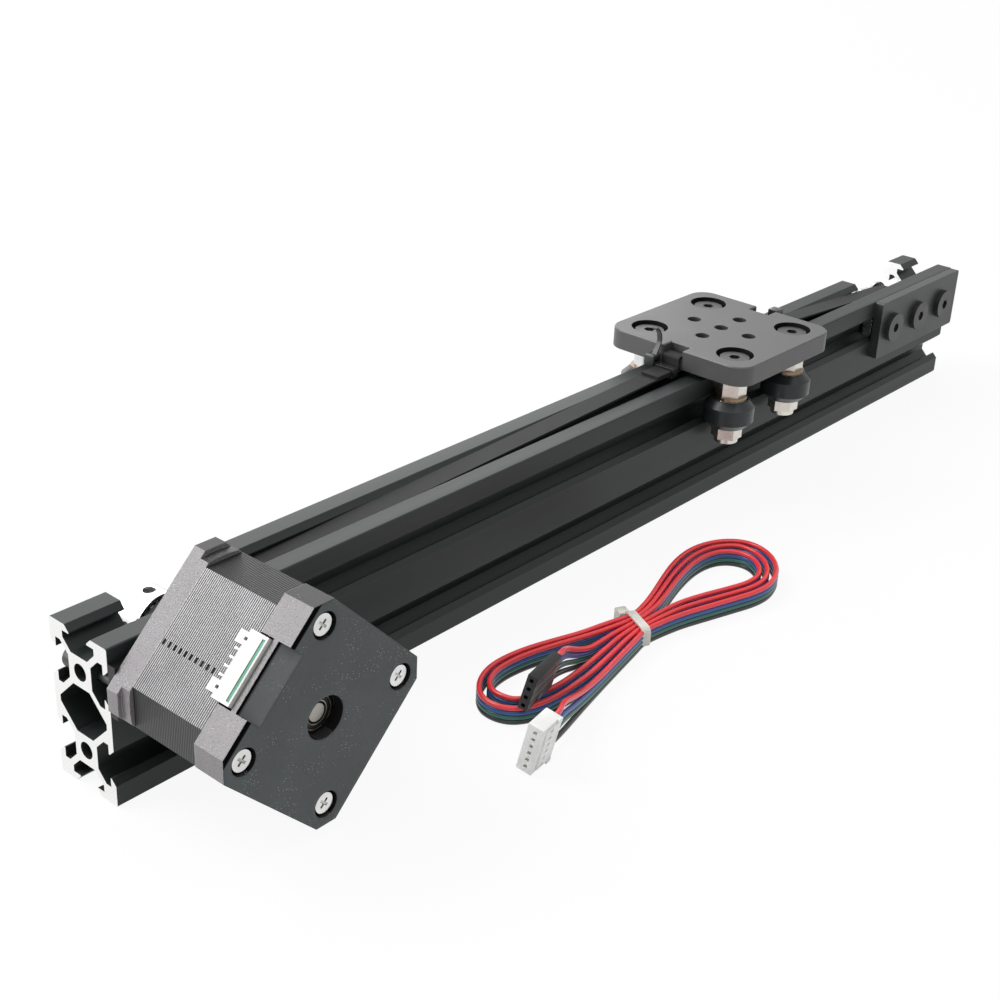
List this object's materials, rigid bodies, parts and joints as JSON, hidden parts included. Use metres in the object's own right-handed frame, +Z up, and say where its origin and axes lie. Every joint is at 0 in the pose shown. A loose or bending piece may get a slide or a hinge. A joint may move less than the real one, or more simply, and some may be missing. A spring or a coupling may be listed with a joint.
{
  "type": "belt driven linear module",
  "caption": "Belt-driven linear module: a stepper motor and an idler at the ends of a slotted profile pull a wheeled gantry plate along its top, with a loose motor cable beside it.",
  "frame": {"origin": "on the profile's underside, in its centre plane, at its motor-end face", "axes": "+X along the profile from the motor end to the idler end, +Y to the side away from the motor, +Z up"},
  "size_m": [0.3721, 0.0948, 0.0571],
  "materials": {
    "black_anodised": "satin black anodised, bright where cut",
    "motor_cast": "fine textured black coating",
    "laminations": "stacked steel sheets, dark",
    "copper": "enamelled wire",
    "black_plastic": "satin",
    "white_plastic": "satin",
    "green_board": "green lacquer",
    "wheel_plastic": "smooth, slightly glossy",
    "steel": "zinc plated",
    "silver_aluminium": "machined",
    "brass": "turned",
    "belt_rubber": "matt, fine weave",
    "tie_plastic": "satin black",
    "wire_insulation": "four colours: red, blue, green and black"
  },
  "bodies": {
    "frame": {"profile": "black_anodised", "motor_spacers": "black_plastic", "motor_fixing_screws": "steel", "motor_front_bell": "motor_cast", "motor_stator": "laminations", "motor_windings": "copper", "motor_rear_cover": "motor_cast", "motor_screws": "steel", "motor_socket": "white_plastic", "circuit_board": "green_board", "socket_pins": "brass", "front_bearing": "steel", "rear_bearing": "steel", "idler_plate": "black_anodised", "idler_plate_screws": "steel", "tee_nuts": "steel", "idler_axle_screw": "steel", "idler_axle_spacers": "steel", "idler_axle_nut": "steel", "belt_lower_run": "belt_rubber", "belt_upper_motor_side": "belt_rubber", "belt_upper_idler_side": "belt_rubber", "cable_hank": "wire_insulation", "cable_tie": "white_plastic", "motor_lead_wires": "wire_insulation", "driver_lead_wires": "wire_insulation", "motor_plug": "white_plastic", "driver_plug": "black_plastic"},
    "rotor": {"motor_shaft": "steel", "motor_rotor": "laminations", "drive_pulley": "silver_aluminium", "pulley_grub_screws": "steel"},
    "idler": {"idler_pulley": "silver_aluminium", "idler_bearings": "steel"},
    "carriage": {"gantry_plate": "black_anodised", "wheel_screws": "steel", "eccentric_spacers": "steel", "fixed_spacers": "silver_aluminium", "brass_shims": "brass", "wheel_shims": "steel", "lock_nuts": "steel", "belt_end_motor_side": "belt_rubber", "belt_end_idler_side": "belt_rubber", "belt_ties": "tie_plastic"},
    "wheel_body_1": {"wheel_1": "wheel_plastic", "wheel_1_bearings": "steel"},
    "wheel_body_2": {"wheel_2": "wheel_plastic", "wheel_2_bearings": "steel"},
    "wheel_body_3": {"wheel_3": "wheel_plastic", "wheel_3_bearings": "steel"},
    "wheel_body_4": {"wheel_4": "wheel_plastic", "wheel_4_bearings": "steel"}
  },
  "joints": [
    {"name": "carriage_slide", "type": "slide", "parent": "frame", "child": "carriage", "axis": [1, 0, 0], "range_m": [-0.158, 0.053], "deforming": ["belt_upper_motor_side", "belt_upper_idler_side"]},
    {"name": "rotor_spin", "type": "hinge", "parent": "frame", "child": "rotor", "pos_m": [0.025, 0, 0.03], "axis": [0, 1, 0], "range_deg": [-1430, 485]},
    {"name": "idler_spin", "type": "hinge", "parent": "frame", "child": "idler", "pos_m": [0.3415, 0, 0.03], "axis": [0, 1, 0], "range_deg": [-1430, 485]},
    {"name": "wheel_1_roll", "type": "hinge", "parent": "carriage", "child": "wheel_body_1", "pos_m": [0.22115, -0.0156, 0.03], "axis": [0, 0, 1], "range_deg": [-1440, 490]},
    {"name": "wheel_2_roll", "type": "hinge", "parent": "carriage", "child": "wheel_body_2", "pos_m": [0.25245, -0.0156, 0.03], "axis": [0, 0, 1], "range_deg": [-1440, 490]},
    {"name": "wheel_3_roll", "type": "hinge", "parent": "carriage", "child": "wheel_body_3", "pos_m": [0.22115, 0.0156, 0.03], "axis": [0, 0, 1], "range_deg": [-490, 1440]},
    {"name": "wheel_4_roll", "type": "hinge", "parent": "carriage", "child": "wheel_body_4", "pos_m": [0.25245, 0.0156, 0.03], "axis": [0, 0, 1], "range_deg": [-490, 1440]}
  ],
  "couplings": [
    {"joint": "rotor_spin", "follows": "carriage_slide", "rad_per_m": 157.08},
    {"joint": "idler_spin", "follows": "carriage_slide", "rad_per_m": 157.08},
    {"joint": "wheel_1_roll", "follows": "carriage_slide", "rad_per_m": 158},
    {"joint": "wheel_2_roll", "follows": "carriage_slide", "rad_per_m": 158},
    {"joint": "wheel_3_roll", "follows": "carriage_slide", "rad_per_m": -158},
    {"joint": "wheel_4_roll", "follows": "carriage_slide", "rad_per_m": -158}
  ]
}
